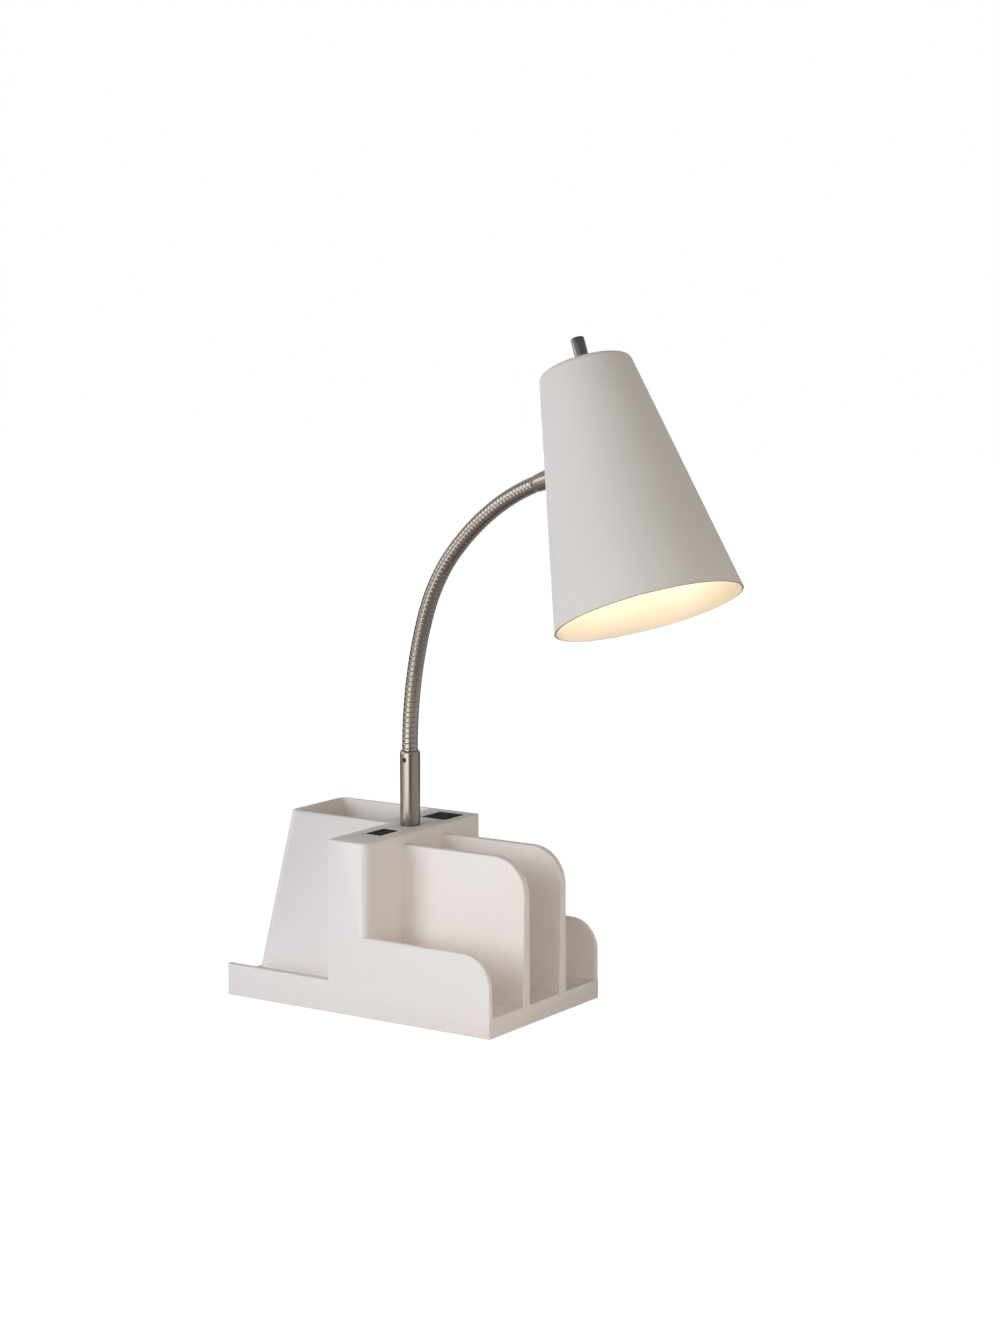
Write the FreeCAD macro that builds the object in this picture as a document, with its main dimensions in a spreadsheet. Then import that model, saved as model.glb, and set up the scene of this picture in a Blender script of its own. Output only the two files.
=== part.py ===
import FreeCAD, Part
import math
import os

# Desk lamp on a moulded organizer: a ledge for a phone, a pen cup, three file slots and a tower with a
# USB port, a mains outlet and a gooseneck that carries a cone shade.
# The origin is the middle of the footprint, on the surface that the foam pad rests on.
# +X is right, +Y is back and +Z is up. The neck bends in one upright plane through the post.

sizes = {
    # organizer housing
    "base_width": 250, "base_depth": 153, "rim": 1, "slab_top": 16, "skin": 3,
    "corner_round": 2, "edge_break": 0.7,
    "lip_top": 26, "lip_foot": 5.4, "lip_crest": 4.6,
    "tower_middle": -6.5, "tower_width": 37, "tower_top": 136.5, "tower_round": 8,
    "cup_foot": 38, "cup_brow": 81, "cup_round": 8, "cup_floor": 19,
    "cup_wall": 3.6, "cup_draft": 2, "cup_right": -32.5, "cup_inner_round": 6,
    "low_top": 63.5, "low_round": 24, "wall_foot": 4.8, "wall_crest": 3.6,
    "divider_top": 129, "divider_round": 28, "divider_foot": 9.7, "divider_crest": 6.6,
    # underside
    "cover_thick": 2.5, "cover_gap": 0.3, "boss_side": 7.2, "boss_x": 113, "boss_y": 67,
    "screw_radius": 1.4, "screw_flats": 5, "screw_recess": 6.2, "screw_clear": 0.05,
    "head_low": 1.6, "head_high": 2.6, "pad_width": 208, "pad_depth": 112, "pad_thick": 1.5,
    "ballast_x": 62, "ballast_width": 92, "ballast_depth": 112, "ballast_thick": 6,
    # ports in the tower top
    "usb_y": -30.5, "usb_width": 14, "usb_depth": 22.5, "port_width": 5.9, "port_depth": 13.3,
    "outlet_y": 52, "outlet_width": 22.8, "outlet_depth": 25.6,
    "slot_width": 1.9, "slot_long": 8.4, "slot_short": 6.8, "slot_spacing": 12.7,
    "flange_sunk": 0.8, "flange_proud": 0.4, "terminal_height": 12,
    # post
    "post_y": 7.5, "sleeve_radius": 7.5, "sleeve_top": 196, "sleeve_shoulder": 6.2,
    "nipple_radius": 5, "nipple_bore": 3.3, "nut_flats": 14,
    # gooseneck: three tangent arcs, bottom to top, in the bending plane
    "plane_azimuth": -18.5,
    "arc_low": 109, "arc_low_turn": 22, "arc_mid": 66, "arc_mid_turn": 25.5,
    "arc_high": 118, "arc_high_turn": 25.5,
    "stretches": 6, "ribs": 7, "crest_radius": 5.45, "valley_radius": 4.7, "neck_bore": 3.1,
    "neck_sides": 16, "bore_steps": 3, "lead_sides": 8,
    "tail_in_sleeve": 30, "tail_in_ferrule": 16,
    "nose_length": 4.6, "nose_tip": 3.8, "mouth_set": 0.3, "mouth_rim": 5, "mouth_depth": 2.1,
    "mouth_throat": 3.5, "lead_radius": 1.9, "lead_gap": 0.5,
    # head
    "ferrule_radius": 6.5, "ferrule_length": 38.5, "entry_depth": 62.5, "entry_tilt": 4.7,
    "shade_length": 184, "shade_mouth": 68.5, "shade_crown": 33.3, "shade_thick": 1,
    "shade_sides": 72, "shoulder_radius": 5, "shoulder_steps": 3,
    "hole_radius": 5.2, "holder_radius": 17, "holder_length": 62,
    "bulb_radius": 22.5, "bulb_middle": 88, "bulb_sides": 24, "globe_bands": 5,
    "switch_flats": 11.4, "knob_radius": 5, "knob_low": 1.9, "knob_high": 21.4, "shaft_radius": 3,
}

doc = FreeCAD.newDocument("desk_lamp")
sheet = doc.addObject("Spreadsheet::Sheet", "sizes")
for row, (alias, value) in enumerate(sizes.items(), 1):
    sheet.set(f"A{row}", alias)
    sheet.set(f"B{row}", str(value))
    sheet.setAlias(f"B{row}", alias)
doc.recompute()

pieces = []


def size(alias):
    return float(sheet.get(alias))


def bind(thing, formulas):
    for path, formula in formulas.items():
        thing.setExpression(path, formula)
    return thing


def keep(thing, label, placement=None):
    # a finished piece: its label names its file
    thing.Label = label
    if placement is not None:
        for letter in "xyz":
            thing.setExpression(f".Placement.Base.{letter}", None)
        thing.Placement = placement
    pieces.append(thing)
    return thing


def drafted(name, low, high, foot, crest=None):
    # a block whose sides lean from its foot to its crest, each given as left, right, front, back
    block = doc.addObject("Part::Wedge", name)
    block.Placement.Rotation = FreeCAD.Rotation(FreeCAD.Vector(1, 0, 0), 90)
    left, right, front, back = foot
    left_up, right_up, front_up, back_up = crest or foot
    return bind(block, {
        "Ymin": low, "Ymax": high,
        "Xmin": left, "Xmax": right, "Zmin": f"-({back})", "Zmax": f"-({front})",
        "X2min": left_up, "X2max": right_up, "Z2min": f"-({back_up})", "Z2max": f"-({front_up})",
    })


def centred(name, x, y, width, depth, low, high):
    # an upright block about a middle point
    return drafted(name, low, high, (f"{x} - ({width}) / 2", f"{x} + ({width}) / 2",
                                     f"{y} - ({depth}) / 2", f"{y} + ({depth}) / 2"))


def rod(name, radius, low, high, x="0", y="0"):
    bar = doc.addObject("Part::Cylinder", name)
    return bind(bar, {"Radius": radius, "Height": f"{high} - ({low})", ".Placement.Base.x": x,
                      ".Placement.Base.y": y, ".Placement.Base.z": low})


def taper(name, radius_low, radius_high, low, high, x="0", y="0"):
    cone = doc.addObject("Part::Cone", name)
    return bind(cone, {"Radius1": radius_low, "Radius2": radius_high, "Height": f"{high} - ({low})",
                       ".Placement.Base.x": x, ".Placement.Base.y": y, ".Placement.Base.z": low})


def hexagon(name, across_flats, low, high, x="0", y="0"):
    prism = doc.addObject("Part::Prism", name)
    prism.Polygon = 6
    return bind(prism, {"Circumradius": f"{across_flats} / sqrt(3)", "Height": f"{high} - ({low})",
                        ".Placement.Base.x": x, ".Placement.Base.y": y, ".Placement.Base.z": low})


def fuse(name, *shapes):
    joined = doc.addObject("Part::MultiFuse", name)
    joined.Shapes = list(shapes)
    joined.Refine = True
    return joined


def cut(name, base, *tools):
    result = doc.addObject("Part::Cut", name)
    result.Base = base
    result.Tool = tools[0] if len(tools) == 1 else fuse(name + "_tools", *tools)
    result.Refine = True
    return result


def common(name, one, other):
    result = doc.addObject("Part::Common", name)
    result.Base = one
    result.Tool = other
    return result


def is_edge(edge, direction, x, y, z):
    # true for an edge that runs along the direction, with its middle at the places that are given
    run = edge.Vertexes[-1].Point - edge.Vertexes[0].Point
    if run.Length == 0 or abs(getattr(run, direction)) < 0.9 * run.Length:
        return False
    middle = (edge.Vertexes[-1].Point + edge.Vertexes[0].Point) / 2
    return all(place is None or abs(getattr(middle, letter) - place) < 4
               for letter, place in zip("xyz", (x, y, z)))


def rounded(name, base, radius, *edges, kind="Part::Fillet"):
    doc.recompute()
    chosen = [(number, radius, radius) for number, edge in enumerate(base.Shape.Edges, 1)
              if any(is_edge(edge, *wanted) for wanted in edges)]
    result = doc.addObject(kind, name)
    result.Base = base
    result.Edges = chosen
    return result


def broken(name, base, *edges):
    # sharp edges broken by a narrow flat
    return rounded(name, base, size("edge_break"), *edges, kind="Part::Chamfer")


# Organizer housing, one moulding open below
left, right = "-sizes.base_width / 2", "sizes.base_width / 2"
front, back = "-sizes.base_depth / 2", "sizes.base_depth / 2"
tower_left = "sizes.tower_middle - sizes.tower_width / 2"
tower_right = "sizes.tower_middle + sizes.tower_width / 2"
slot_gap = "(sizes.base_depth - 2 * sizes.wall_foot - 2 * sizes.divider_foot) / 3"
half_width, half_depth = size("base_width") / 2, size("base_depth") / 2
tower_x = size("tower_middle") + size("tower_width") / 2
top = size("tower_top")


def make_low_wall(name, foot, crest, outer_y):
    blank = drafted(name + "_blank", "sizes.rim", "sizes.low_top", foot, crest)
    shouldered = rounded(name + "_shoulder", blank, size("low_round"),
                         ("y", half_width, None, size("low_top")))
    return broken(name, shouldered, ("x", None, outer_y, size("low_top")))


def make_divider(number):
    # a wide foot and a narrow crest, about a middle plane that leaves three equal slots
    step = f"({slot_gap} + sizes.divider_foot)"
    middle = f"{front} + sizes.wall_foot + {slot_gap} + sizes.divider_foot / 2 + {number} * {step}"
    blank = drafted(f"divider_blank_{number}", "sizes.slab_top - 1", "sizes.divider_top",
                    (tower_right + " - 5", right, f"{middle} - sizes.divider_foot / 2",
                     f"{middle} + sizes.divider_foot / 2"),
                    (tower_right + " - 5", right, f"{middle} - sizes.divider_crest / 2",
                     f"{middle} + sizes.divider_crest / 2"))
    shouldered = rounded(f"divider_shoulder_{number}", blank, size("divider_round"),
                         ("y", half_width, None, size("divider_top")))
    core = drafted(f"divider_core_{number}", "0", "sizes.divider_top - 9",
                   (tower_right + " - 5", right + " - 15", f"{middle} - sizes.divider_foot / 2 + 2.4",
                    f"{middle} + sizes.divider_foot / 2 - 2.4"),
                   (tower_right + " - 5", right + " - 15", f"{middle} - 1", f"{middle} + 1"))
    crest = broken(f"divider_{number}", shouldered, ("x", None, None, size("divider_top")))
    return crest, core


def make_housing_outside():
    slab = rounded("slab", drafted("slab_blank", "sizes.rim", "sizes.slab_top",
                                   (left, right, front, back)),
                   size("corner_round"),
                   ("z", -half_width, -half_depth, None), ("z", -half_width, half_depth, None))
    lip = rounded("lip", drafted("lip_blank", "sizes.rim", "sizes.lip_top",
                                 (left, tower_left + " + 5", front, front + " + sizes.lip_foot"),
                                 (left, tower_left + " + 5", front, front + " + sizes.lip_crest")),
                  size("corner_round"),
                  ("x", None, -half_depth, size("lip_top")), ("z", -half_width, -half_depth, None))
    rest_blank = drafted("rest_blank", "sizes.slab_top - 1", "sizes.tower_top",
                         (left, tower_left + " + 9", front + " + sizes.cup_foot", back),
                         (left, tower_left + " + 9", front + " + sizes.cup_brow", back))
    rest_sides = rounded("rest_sides", rest_blank, size("cup_round"), ("z", -half_width, None, None))
    rest = broken("rest", rest_sides, ("y", -half_width, None, top),
                  ("x", None, size("cup_brow") - half_depth, top), ("x", None, half_depth, top))
    tower_blank = drafted("tower_blank", "sizes.rim", "sizes.tower_top",
                          (tower_left, tower_right, front, back))
    tower_side = rounded("tower_side", tower_blank, size("tower_round"),
                         ("z", tower_x, -half_depth, None))
    tower = broken("tower", tower_side, ("x", None, -half_depth, top), ("y", tower_x, None, top),
                   ("x", None, half_depth, top), ("z", tower_x, half_depth, None))
    wall_left = tower_right + " - 10"
    front_wall = make_low_wall("front_wall", (wall_left, right, front, front + " + sizes.wall_foot"),
                               (wall_left, right, front, front + " + sizes.wall_crest"), -half_depth)
    back_wall = make_low_wall("back_wall", (wall_left, right, back + " - sizes.wall_foot", back),
                              (wall_left, right, back + " - sizes.wall_crest", back), half_depth)
    return [slab, lip, rest, tower, front_wall, back_wall]


def make_cup_cavity():
    # the cup narrows a little towards its floor, so that it leaves the mould
    behind = f"{front} + sizes.cup_brow + sizes.cup_wall"
    mouth = (f"{left} + sizes.cup_wall", "sizes.cup_right", behind, f"{back} - sizes.cup_wall")
    floor = (f"{left} + sizes.cup_wall + sizes.cup_draft", "sizes.cup_right - sizes.cup_draft",
             f"{behind} + sizes.cup_draft", f"{back} - sizes.cup_wall - sizes.cup_draft")
    blank = drafted("cup_blank", "sizes.cup_floor", "sizes.tower_top + 1", floor, mouth)
    return rounded("cup_cavity", blank, size("cup_inner_round"), ("z", None, None, None))


def make_cores():
    # hollows that open downwards: under the slab, behind the leaning rest and up the tower
    slab_core = drafted("slab_core", "0", "sizes.slab_top - sizes.skin",
                        (f"{left} + sizes.skin", f"{right} - sizes.skin",
                         f"{front} + sizes.skin", f"{back} - sizes.skin"))
    rest_core = drafted("rest_core", "sizes.slab_top - sizes.skin - 1", "sizes.tower_top - 10",
                        (f"{left} + sizes.skin", f"{tower_left} - 6",
                         f"{front} + sizes.cup_foot + 2.4", f"{front} + sizes.cup_brow + 1"),
                        (f"{left} + sizes.skin", f"{tower_left} - 6",
                         f"{front} + sizes.cup_brow - 0.5", f"{front} + sizes.cup_brow + 1"))
    tower_core = drafted("tower_core", "sizes.slab_top - sizes.skin - 1", "sizes.tower_top - sizes.skin",
                         (f"{tower_left} + sizes.skin", f"{tower_right} - sizes.skin",
                          f"{front} + sizes.skin", f"{back} - sizes.skin"))
    return [slab_core, rest_core, tower_core]


def make_port_cutters(name, y, width, depth):
    # a shallow seat for the flange and a through hole for the body behind it
    seat = centred(name + "_seat", "sizes.tower_middle", y, width + " + 0.3", depth + " + 0.3",
                   "sizes.tower_top - sizes.flange_sunk", "sizes.tower_top + 2")
    hole = centred(name + "_hole", "sizes.tower_middle", y, width + " - 2", depth + " - 2.2",
                   "sizes.tower_top - 10", "sizes.tower_top + 2")
    return [seat, hole]


boss_places = [(x, y) for x in ("-sizes.boss_x", "sizes.boss_x") for y in ("-sizes.boss_y", "sizes.boss_y")]


def make_housing():
    walls = make_housing_outside()
    cutters = make_cores() + [make_cup_cavity()]
    for number in range(2):
        divider, core = make_divider(number)
        walls.append(divider)
        cutters.append(core)
    cutters += make_port_cutters("usb", "sizes.usb_y", "sizes.usb_width", "sizes.usb_depth")
    cutters += make_port_cutters("outlet", "sizes.outlet_y", "sizes.outlet_width",
                                 "sizes.outlet_depth")
    cutters.append(rod("post_hole", "sizes.hole_radius", "sizes.tower_top - 10", "sizes.tower_top + 2",
                       "sizes.tower_middle", "sizes.post_y"))
    cutters.append(make_bush_hole())
    shell = cut("housing_shell", fuse("housing_walls", *walls), *cutters)
    bosses = [centred(f"boss_{number}", x, y, "sizes.boss_side", "sizes.boss_side",
                      "sizes.rim + sizes.cover_thick", "sizes.slab_top - 1")
              for number, (x, y) in enumerate(boss_places)]
    pilots = [rod(f"pilot_{number}", "sizes.screw_radius + sizes.screw_clear", "0",
                  "sizes.slab_top - 4", x, y) for number, (x, y) in enumerate(boss_places)]
    return cut("housing", fuse("housing_bossed", shell, *bosses), *pilots)


def make_bush_hole():
    hole = doc.addObject("Part::Cylinder", "bush_hole")
    hole.Placement.Rotation = FreeCAD.Rotation(FreeCAD.Vector(1, 0, 0), -90)
    return bind(hole, {"Radius": "6", "Height": "10", ".Placement.Base.x": "sizes.tower_middle",
                       ".Placement.Base.y": back + " - 8", ".Placement.Base.z": "28"})


keep(make_housing(), "organizer_housing")


# Underside: cover, screws, foam pad and the steel plate that keeps the lamp from tipping
def make_cover():
    edge = "sizes.skin + sizes.cover_gap"
    plate = rounded("cover_plate", drafted("cover_blank", "sizes.rim", "sizes.rim + sizes.cover_thick",
                                           (f"{left} + {edge}", f"{right} - ({edge})",
                                            f"{front} + {edge}", f"{back} - ({edge})")),
                    size("corner_round"), ("z", None, None, None))
    holes = [centred("pad_recess", "0", "0", "sizes.pad_width + 0.4", "sizes.pad_depth + 0.4", "0",
                     "sizes.pad_thick")]
    for number, (x, y) in enumerate(boss_places):
        holes.append(rod(f"cover_hole_{number}", "sizes.screw_radius + 0.2", "0", "10", x, y))
        holes.append(centred(f"head_recess_{number}", x, y, "sizes.screw_recess", "sizes.screw_recess",
                             "0", "sizes.head_high"))
    return cut("cover", plate, *holes)


def make_screws():
    screws = []
    for number, (x, y) in enumerate(boss_places):
        head = hexagon(f"screw_head_{number}", "sizes.screw_flats", "sizes.head_low", "sizes.head_high",
                       x, y)
        shank = rod(f"screw_shank_{number}", "sizes.screw_radius", "sizes.head_high", "sizes.rim + 8", x, y)
        screws.append(fuse(f"screw_{number}", head, shank))
    group = doc.addObject("Part::Compound", "screw_group")
    group.Links = screws
    return group


def make_pad():
    return rounded("pad", centred("pad_blank", "0", "0", "sizes.pad_width", "sizes.pad_depth", "0",
                                  "sizes.pad_thick"),
                   size("corner_round"), ("z", None, None, None))


def make_ballast():
    # a steel plate bonded to the cover
    low = "sizes.rim + sizes.cover_thick"
    blank = centred("ballast_blank", "sizes.ballast_x", "0", "sizes.ballast_width",
                    "sizes.ballast_depth", low, low + " + sizes.ballast_thick")
    return rounded("ballast", blank, 4, ("z", None, None, None))


keep(make_cover(), "bottom_cover")
keep(make_screws(), "cover_screws")
keep(make_pad(), "foam_pad")
keep(make_ballast(), "ballast_plate")


# USB port and its charger, under the front of the tower top
def make_usb_housing():
    flange = centred("usb_flange", "sizes.tower_middle", "sizes.usb_y", "sizes.usb_width",
                     "sizes.usb_depth", "sizes.tower_top - sizes.flange_sunk",
                     "sizes.tower_top + sizes.flange_proud")
    body = centred("usb_body", "sizes.tower_middle", "sizes.usb_y", "sizes.usb_width - 2.4",
                   "sizes.usb_depth - 2.6", "sizes.tower_top - 16", "sizes.tower_top")
    port = centred("usb_port", "sizes.tower_middle", "sizes.usb_y", "sizes.port_width",
                   "sizes.port_depth", "sizes.tower_top - 15", "sizes.tower_top + 2")
    return cut("usb_case", fuse("usb_solid", flange, body), port)


def make_usb_shell():
    outside = centred("usb_shell_outside", "sizes.tower_middle", "sizes.usb_y", "sizes.port_width - 0.2",
                      "sizes.port_depth - 0.2", "sizes.tower_top - 15", "sizes.tower_top - 0.2")
    inside = centred("usb_shell_inside", "sizes.tower_middle", "sizes.usb_y", "sizes.port_width - 0.8",
                     "sizes.port_depth - 0.8", "sizes.tower_top - 14.6", "sizes.tower_top + 1")
    return cut("usb_can", outside, inside)


charger_top = "sizes.tower_top - 16.5"
keep(make_usb_housing(), "usb_housing")
keep(make_usb_shell(), "usb_shell")
keep(centred("usb_blade", "sizes.tower_middle + 0.9", "sizes.usb_y", "1.8", "11.2",
             "sizes.tower_top - 14.6", "sizes.tower_top - 3"), "usb_tongue")
keep(centred("charger_plate", "sizes.tower_middle", "sizes.usb_y", "26", "44",
             charger_top + " - 1.6", charger_top), "charger_board")
keep(centred("charger_block", "sizes.tower_middle", "sizes.usb_y - 8", "16", "18",
             charger_top + " - 15", charger_top + " - 1.6"), "charger_transformer")
keep(rod("charger_can", "4", charger_top + " - 13", charger_top + " - 1.6",
         "sizes.tower_middle", "sizes.usb_y + 12"), "charger_capacitor")


# Mains outlet near the back of the tower top, with one long and one short slot
def make_outlet():
    flange = centred("outlet_flange", "sizes.tower_middle", "sizes.outlet_y", "sizes.outlet_width",
                     "sizes.outlet_depth", "sizes.tower_top - sizes.flange_sunk",
                     "sizes.tower_top + sizes.flange_proud")
    body = centred("outlet_body", "sizes.tower_middle", "sizes.outlet_y", "sizes.outlet_width - 2.4",
                   "sizes.outlet_depth - 2.6", "sizes.tower_top - 24", "sizes.tower_top")
    hollows = []
    for sign, long in (("-", "sizes.slot_long"), ("+", "sizes.slot_short")):
        x = f"sizes.tower_middle {sign} sizes.slot_spacing / 2"
        hollows.append(centred("slot_mouth", x, "sizes.outlet_y", "sizes.slot_width", long,
                               "sizes.tower_top - 5", "sizes.tower_top + 2"))
        hollows.append(centred("slot_chamber", x, "sizes.outlet_y", "4.4", "9.4",
                               "sizes.tower_top - 22", "sizes.tower_top - 3"))
    return cut("outlet_case", fuse("outlet_solid", flange, body), *hollows)


def make_outlet_contacts():
    # each blade is held between two sprung leaves joined at the bottom
    contacts = []
    for sign in "-+":
        x = f"sizes.tower_middle {sign} sizes.slot_spacing / 2"
        outside = centred("contact_outside", x, "sizes.outlet_y", "3.4", "7", "sizes.tower_top - 21.5",
                          "sizes.tower_top - 5")
        inside = centred("contact_inside", x, "sizes.outlet_y", "2.2", "8", "sizes.tower_top - 20.8",
                         "sizes.tower_top - 4")
        contacts.append(cut("contact", outside, inside))
    group = doc.addObject("Part::Compound", "contact_group")
    group.Links = contacts
    return group


def make_cord_bush():
    # a snap bush in the back wall; its bore takes the mains cord
    flange = rod("bush_flange", "8", "0", "2.5")
    neck = rod("bush_neck", "5.95", "-3", "0")
    collar = rod("bush_collar", "6.8", "-6", "-3")
    bore = rod("bush_bore", "3.5", "-10", "10")
    return cut("bush", fuse("bush_solid", flange, neck, collar), bore)


keep(make_outlet(), "outlet_housing")
keep(make_outlet_contacts(), "outlet_contacts")
keep(make_cord_bush(), "cord_bush",
     FreeCAD.Placement(FreeCAD.Vector(size("tower_middle"), half_depth, 28),
                       FreeCAD.Rotation(FreeCAD.Vector(1, 0, 0), -90)))
keep(centred("terminal_body", "sizes.tower_middle", "sizes.post_y", "24", "18",
             "sizes.rim + sizes.cover_thick",
             "sizes.rim + sizes.cover_thick + sizes.terminal_height"), "terminal_block")


# Post: a threaded nipple clamped through the tower top, and the sleeve screwed onto it
def make_tube(name, outer, bore, low, high):
    place = ("sizes.tower_middle", "sizes.post_y")
    return cut(name, rod(name + "_outside", outer, low, high, *place),
               rod(name + "_bore", bore, f"{low} - 1", f"{high} + 1", *place))


def make_sleeve():
    place = ("sizes.tower_middle", "sizes.post_y")
    barrel = rod("sleeve_barrel", "sizes.sleeve_radius", "sizes.tower_top", "sizes.sleeve_top - 4", *place)
    shoulder = taper("sleeve_cone", "sizes.sleeve_radius", "sizes.sleeve_shoulder",
                     "sizes.sleeve_top - 4", "sizes.sleeve_top", *place)
    thread = rod("sleeve_thread", "sizes.nipple_radius + 0.05", "sizes.tower_top - 1",
                 "sizes.tower_top + 20", *place)
    socket = rod("sleeve_socket", "sizes.crest_radius + 0.1", "sizes.tower_top + 19",
                 "sizes.sleeve_top + 1", *place)
    tapped = doc.addObject("Part::Cylinder", "sleeve_tapped")
    tapped.Placement.Rotation = FreeCAD.Rotation(FreeCAD.Vector(1, 0, 0), 90)
    bind(tapped, {"Radius": "1.55", "Height": "12", ".Placement.Base.x": "sizes.tower_middle",
                  ".Placement.Base.y": "sizes.post_y", ".Placement.Base.z": "sizes.sleeve_top - 7"})
    return cut("sleeve", fuse("sleeve_solid", barrel, shoulder), thread, socket, tapped)


def make_set_screw():
    # a grub screw that clamps the gooseneck in the sleeve, with a hexagon recess
    body = rod("grub_body", "1.5", "0", "2")
    recess = hexagon("grub_recess", "1.5", "1", "3")
    return cut("grub", body, recess)


panel_under = "sizes.tower_top - sizes.skin"
keep(make_tube("nipple", "sizes.nipple_radius", "sizes.nipple_bore", "sizes.tower_top - 12",
               "sizes.tower_top + 18"), "neck_nipple")
keep(cut("washer", centred("washer_plate", "sizes.tower_middle", "sizes.post_y", "18", "18",
                           panel_under + " - 1", panel_under),
         rod("washer_hole", "sizes.hole_radius", panel_under + " - 2", panel_under + " + 1",
             "sizes.tower_middle", "sizes.post_y")), "nipple_washer")
keep(cut("nipple_hex", hexagon("nipple_hex_blank", "sizes.nut_flats", panel_under + " - 5",
                               panel_under + " - 1", "sizes.tower_middle", "sizes.post_y"),
         rod("nipple_hex_bore", "sizes.nipple_radius + 0.05", panel_under + " - 6", panel_under,
             "sizes.tower_middle", "sizes.post_y")), "nipple_nut")
keep(make_sleeve(), "neck_sleeve")
keep(make_set_screw(), "sleeve_set_screw",
     FreeCAD.Placement(FreeCAD.Vector(size("tower_middle"), size("post_y") - size("crest_radius") - 0.1,
                                      size("sleeve_top") - 7),
                       FreeCAD.Rotation(FreeCAD.Vector(1, 0, 0), 90)))


# Gooseneck: its middle line, from the sleeve's mouth to the ferrule
azimuth = math.radians(size("plane_azimuth"))
outwards = FreeCAD.Vector(math.cos(azimuth), math.sin(azimuth), 0)
sideways = FreeCAD.Vector(-math.sin(azimuth), math.cos(azimuth), 0)
upwards = FreeCAD.Vector(0, 0, 1)
post = FreeCAD.Vector(size("tower_middle"), size("post_y"), 0)
arcs = [(size(name), math.radians(size(name + "_turn"))) for name in ("arc_low", "arc_mid", "arc_high")]
flexible = sum(length for length, turn in arcs)
stretch_count = int(size("stretches"))
stretch = flexible / stretch_count


def neck_at(distance):
    # the point and the direction of the middle line at a distance along it from the sleeve's mouth
    out, height, heading, left_over = 0.0, size("sleeve_top"), math.pi / 2, distance
    for length, turn in arcs:
        walked = max(0.0, min(left_over, length))
        after = heading - turn * walked / length
        out += length / turn * (math.sin(heading) - math.sin(after))
        height += length / turn * (math.cos(after) - math.cos(heading))
        heading = after
        left_over -= walked
    straight = left_over if distance > 0 else distance
    out += straight * math.cos(heading)
    height += straight * math.sin(heading)
    point = post + outwards * out + upwards * height
    return point, outwards * math.cos(heading) + upwards * math.sin(heading)


def ring(distance, radius, sides):
    # the corners of a ring square to the middle line, counted from the side of the bending plane
    point, direction = neck_at(distance)
    place = FreeCAD.Placement(point, FreeCAD.Rotation(sideways, FreeCAD.Vector(), direction, "ZXY"))
    turns = [2 * math.pi * side / sides for side in range(sides)]
    return [place.multVec(FreeCAD.Vector(math.cos(turn), math.sin(turn), 0) * radius) for turn in turns]


def steps_between(start, end, steps):
    return [start + (end - start) * step / steps for step in range(steps + 1)]


def skinned(rings):
    # a closed skin over a loop of rings, each band of it in flat three-cornered faces
    faces = []
    for lower, upper in zip(rings, rings[1:] + rings[:1]):
        for side in range(len(lower)):
            low_left, low_right = lower[side - 1], lower[side]
            high_left, high_right = upper[side - 1], upper[side]
            for corners in ((low_left, low_right, high_right), (low_left, high_right, high_left)):
                faces.append(Part.Face(Part.makePolygon(corners + corners[:1])))
    skin = Part.Shell(faces)
    skin.sewShape()
    return Part.makeSolid(skin)


def neck_stretch(number):
    # ribs between a flared mouth, which takes the nose of the stretch below, and a tapered nose
    hinge_below, hinge_above = number * stretch, (number + 1) * stretch
    first, last = number == 0, number == stretch_count - 1
    start = 1 if first else hinge_below + size("mouth_set")
    end = hinge_above - 1 if last else hinge_above - size("nose_length")
    low = -size("tail_in_sleeve") if first else hinge_below + size("mouth_depth")
    high = hinge_above + size("tail_in_ferrule") if last else hinge_above
    ribs, sides = int(size("ribs")), int(size("neck_sides"))
    pitch = (end - start) / ribs
    outside = [(low, size("crest_radius"))] if first else []
    for rib in range(ribs):
        outside.append((start + rib * pitch, size("crest_radius")))
        outside.append((start + (rib + 0.5) * pitch, size("valley_radius")))
    outside.append((end, size("crest_radius")))
    outside.append((high, size("crest_radius") if last else size("nose_tip")))
    inside = [(stop, size("neck_bore")) for stop in steps_between(high, low, int(size("bore_steps")))]
    if not first:
        inside += [(low, size("mouth_throat")), (start, size("mouth_rim"))]
    return skinned([ring(stop, radius, sides) for stop, radius in outside + inside])


def lead_stretch(number):
    # the lead inside the neck, parted by a small gap at each hinge
    start = number * stretch + size("lead_gap")
    end = (number + 1) * stretch - size("lead_gap")
    if number == stretch_count - 1:
        end = flexible + size("tail_in_ferrule")
    stops = steps_between(start, end, 3)
    if number == 0:
        stops[0] = size("rim") + size("cover_thick") + size("terminal_height") - size("sleeve_top")
    rings = [ring(stop, size("lead_radius"), int(size("lead_sides"))) for stop in stops]
    return Part.makeLoft([Part.makePolygon(corners + corners[:1]) for corners in rings], True, True)


def keep_shape(label, shape):
    feature = doc.addObject("Part::Feature", label)
    feature.Shape = shape
    return keep(feature, label)


stretch_names = ["root"] + [str(number) for number in range(1, stretch_count - 1)] + ["tip"]
for number, name in enumerate(stretch_names):
    keep_shape(f"neck_stretch_{name}", neck_stretch(number))
    keep_shape(f"lead_stretch_{name}", lead_stretch(number))


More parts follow.
